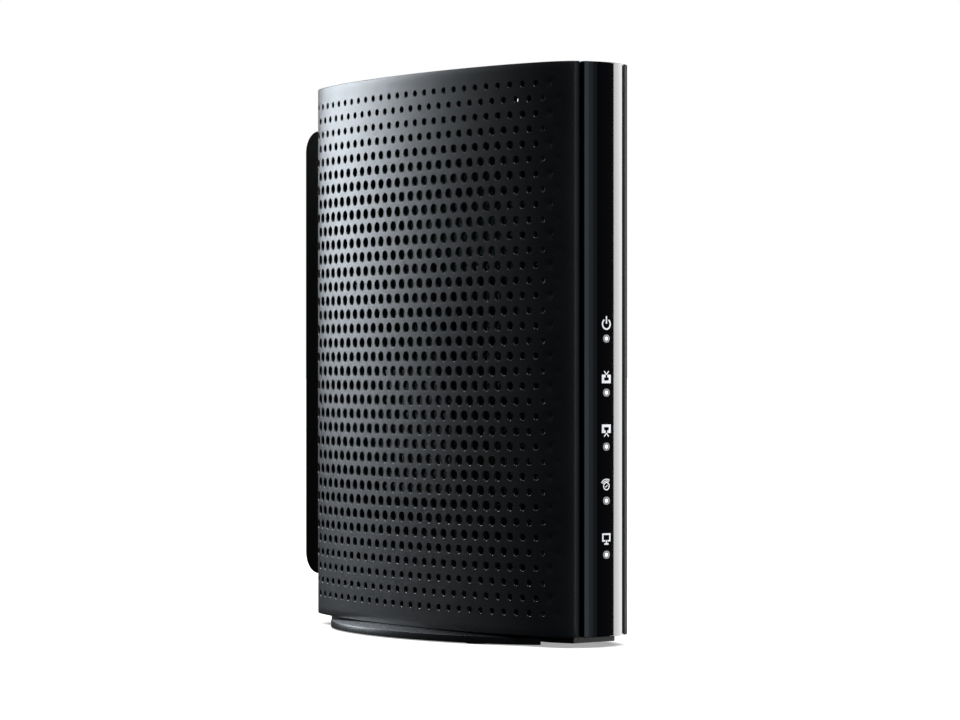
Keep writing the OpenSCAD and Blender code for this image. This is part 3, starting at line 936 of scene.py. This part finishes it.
# ---------------------------------------------------------------- ports at the back
def coax_barrel():
    """The threaded barrel of the cable connector, with a real helical thread and a bevelled mouth."""
    low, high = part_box("coax_connector")
    middle_z = (low.z + high.z) / 2
    nut_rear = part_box("coax_nut")[1].y
    count, pitch, crest, root = 60, 25.4 / 32 * MM, 4.7625 * MM, 4.32 * MM
    bore = 3.6 * MM
    length = high.y - nut_rear
    steps = 84
    rings = [(4.2 * MM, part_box("port_plate")[0].y - nut_rear - MM)] + [(4.2 * MM, -0.01 * MM)]
    vertices, faces = [], []

    def add_ring(radius_at, along):
        for i in range(count):
            turn = 2 * math.pi * i / count
            r = radius_at(turn)
            vertices.append((r * math.cos(turn), nut_rear + along, middle_z + r * math.sin(turn)))
    for r, along in rings:
        add_ring(lambda turn, r=r: r, along)
    for k in range(steps + 1):
        along = length * k / steps
        fade = min(1.0, along / (0.5 * MM), (length - along) / (0.6 * MM) + 0.12)

        def thread(turn, along=along, fade=fade):
            wave = (along / pitch - turn / (2 * math.pi)) % 1.0
            return root + (crest - root) * fade * (1 - abs(2 * wave - 1))
        add_ring(thread, along)
    mouth = [(bore + 0.12 * MM, length), (bore, length - 0.15 * MM), (bore, -6 * MM)]
    for r, along in mouth:
        add_ring(lambda turn, r=r: r, along)
    levels = len(vertices) // count
    for level in range(levels - 1):
        for i in range(count):
            j = (i + 1) % count
            a, b = level * count, (level + 1) * count
            faces.append((a + j, a + i, b + i, b + j))
    for i in range(count):
        j = (i + 1) % count
        faces.append(((levels - 1) * count + j, (levels - 1) * count + i, i, j))
    half, front, back = 5.5 * MM, low.y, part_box("port_plate")[0].y - 0.1 * MM
    first = len(vertices)
    right = high.x
    corners = [(-half, -half), (right, -half), (right, half), (-half, half)]
    vertices += [(x, y, middle_z + z) for y in (front, back) for x, z in corners]
    faces += [tuple(first + k for k in f) for f in ((0, 1, 5, 4), (1, 2, 6, 5), (2, 3, 7, 6), (3, 0, 4, 7),
                                                      (3, 2, 1, 0), (4, 5, 6, 7))]
    piece("coax_connector_threaded", vertices, faces, "coax_metal", ["coax_connector"], sharp_deg=35)


def coax_hex():
    """The hex collar, with its corners chamfered at both ends."""
    low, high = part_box("coax_nut")
    middle_z = (low.z + high.z) / 2
    flat = 6.3 * MM * math.cos(math.pi / 6)
    bore, count = 4.25 * MM, 96

    def ring(limit, y):
        points = []
        for i in range(count):
            turn = 2 * math.pi * i / count
            away = (turn + math.pi / 6) % (math.pi / 3) - math.pi / 6
            r = min(flat / math.cos(away), limit)
            points.append((r * math.cos(turn + math.pi / 6), y, middle_z + r * math.sin(turn + math.pi / 6)))
        return points
    outer = [ring(flat * 1.02, low.y), ring(flat * 1.075, low.y + 0.16 * MM),
             ring(math.inf, low.y + 0.42 * MM), ring(math.inf, high.y - 0.42 * MM),
             ring(flat * 1.075, high.y - 0.16 * MM), ring(flat * 1.02, high.y)]
    inner = [ring(bore, high.y), ring(bore, low.y)]
    vertices, faces = [], []
    loops = outer + inner
    for loop in loops:
        vertices += loop
    n = len(loops)
    for level in range(n):
        for i in range(count):
            j = (i + 1) % count
            a, b = level * count, (level + 1) % n * count
            faces.append((a + j, a + i, b + i, b + j))
    piece("coax_nut_chamfered", vertices, faces, "coax_metal", ["coax_nut"], sharp_deg=24)


def screw_pieces():
    low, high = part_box("housing_screws")
    head_y, z_in = high.y - 1.5 * MM, 1.9 * MM
    places = [(0, head_y, low.z + z_in), (0, head_y, high.z - z_in)]
    screws("housing_screws", places, (0, 1, 0), 1.9 * MM, 1.5 * MM, 1.25 * MM, head_y - low.y)
    low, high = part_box("stand_screws")
    places = [(0, FRONT_Y + depth, low.z + 1.2 * MM) for depth in STAND_SCREW_DEPTHS]
    screws("stand_screws", places, (0, 0, -1), 2.6 * MM, 1.2 * MM, 1.25 * MM, high.z - low.z - 1.2 * MM)
    low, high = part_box("board_screws")
    r = 2.6 * MM
    places = [(high.x - 1.4 * MM, y, z) for y in (low.y + r, high.y - r) for z in (low.z + r, high.z - r)]
    screws("board_screws", places, (1, 0, 0), r, 1.4 * MM, 1.25 * MM, high.x - low.x - 1.4 * MM)


EDGES = {
    "top_cap": (0.7, 4), "bottom_cover": (0.35, 2), "centre_frame": (0.3, 2), "rear_housing": (0.35, 3),
    "port_plate": (0.2, 2), "main_board": (0.12, 1), "status_lights": (0.15, 2), "processor": (0.25, 2),
    "thermal_pad": (0.15, 2), "heat_sink": (0.12, 1), "memory_chips": (0.15, 2), "flash_chip": (0.15, 2),
    "shield_can": (0.3, 2), "tuner_chip": (0.15, 2), "capacitors": (0.5, 3), "inductors": (0.4, 2),
    "ethernet_transformer": (0.3, 2), "ethernet_socket": (0.2, 2), "ethernet_contacts": (0.06, 1),
    "coax_insulator": (0.12, 2), "coax_contact": (0.1, 2), "power_socket": (0.25, 2), "power_pin": (0.35, 3),
    "reset_switch": (0.2, 2), "reset_button": (0.3, 3), "light_guides": (0.1, 1),
}


def softened_pieces():
    for node, (width, segments) in EDGES.items():
        softened(node, width * MM, segments)


def around(azimuth, distance, height):
    """A place round the object: azimuth 0 is in front, and it grows towards the object's right (+X)."""
    turn = math.radians(azimuth)
    return distance * math.sin(turn), FRONT_Y - distance * math.cos(turn), height


def light_only(lamp, name, objects):
    """The lamp lights only these objects."""
    group = bpy.data.collections.new(name)
    for obj in objects:
        group.objects.link(obj)
    lamp.light_linking.receiver_collection = group


def card(name, azimuth_low, azimuth_high, radiance):
    """A tall, narrow softbox in front, given by the range of azimuths that it fills and its brightness."""
    distance, height = 1.7, 2.4
    width = distance * math.radians(azimuth_high - azimuth_low)
    place = around((azimuth_low + azimuth_high) / 2, distance, 0.09)
    power = radiance * math.pi * width * height
    return area_light(name, place, LIGHT_TARGET, width, power, size_y=height, colour=BLUE)


def make_lights():
    """Softboxes for the object alone, and one wide lamp overhead for the floor alone."""
    centre = LIGHT_TARGET
    pieces = [o for o in bpy.context.scene.objects if o.type == "MESH" and o != floor]
    softboxes = [
        area_light("rear_softbox", around(-166.5, 1.6, 0.69), centre, 0.74, 29, size_y=1.2, colour=COOL),
        area_light("right_softbox", around(81, 1.5, 0.09), centre, 1.2, 50, size_y=2.4),
        area_light("top_fill", (-0.3, -0.2, 1.5), centre, 0.8, 9, colour=COOL),
        card("front_card_bright", -16, -3, 1.2),
        card("front_card_middle", -3, 4, 0.62),
        card("front_card_dim", 4, 12, 0.3),
        card("front_card_faint", 12, 20, 0.12),
        card("side_card", -60, -22, 0.035),
    ]
    housing = [o for o in pieces if o.name.startswith("rear_housing")]
    others = [o for o in pieces if o not in housing]
    not_right = [o for o in pieces if not o.name.startswith("right_panel")]
    above_base = [o for o in pieces if not o.name.startswith("bottom_cover")]
    receivers = {"rear_softbox": others, "right_softbox": not_right}
    for lamp in softboxes:
        everything = above_base if lamp.name.startswith("front_card") else pieces
        light_only(lamp, lamp.name + "_group", receivers.get(lamp.name, everything))
    right_panel = [o for o in pieces if o not in not_right]
    light_only(area_light("right_fill", around(81, 1.5, 0.3), centre, 0.9, 7, size_y=1.5), "right_fill_group",
               right_panel)
    housing_card = area_light("housing_card", around(-141.5, 1.5, 0.311), centre, 0.12, 1.3, size_y=0.1)
    light_only(housing_card, "housing_group", housing)
    housing_fill = area_light("housing_fill", around(150, 1.6, 0.6), centre, 0.9, 9, size_y=1.1)
    light_only(housing_fill, "housing_fill_group", housing)
    data = bpy.data.lights.new("floor_sun", "SUN")
    data.energy = 4.6
    data.angle = math.radians(100)
    sun = bpy.data.objects.new("floor_sun", data)
    bpy.context.scene.collection.objects.link(sun)
    light_only(sun, "floor_group", [floor])


def use_plain_colours():
    bpy.context.scene.view_settings.view_transform = "Standard"


make_camera()
use_plain_colours()
make_world()
floor = make_floor()
dress_cad_nodes()
side_panel(-1)
side_panel(1)
front_strip()
light_lenses()
front_symbols()
stand_piece()
feet()
coax_barrel()
coax_hex()
screw_pieces()
softened_pieces()
make_lights()
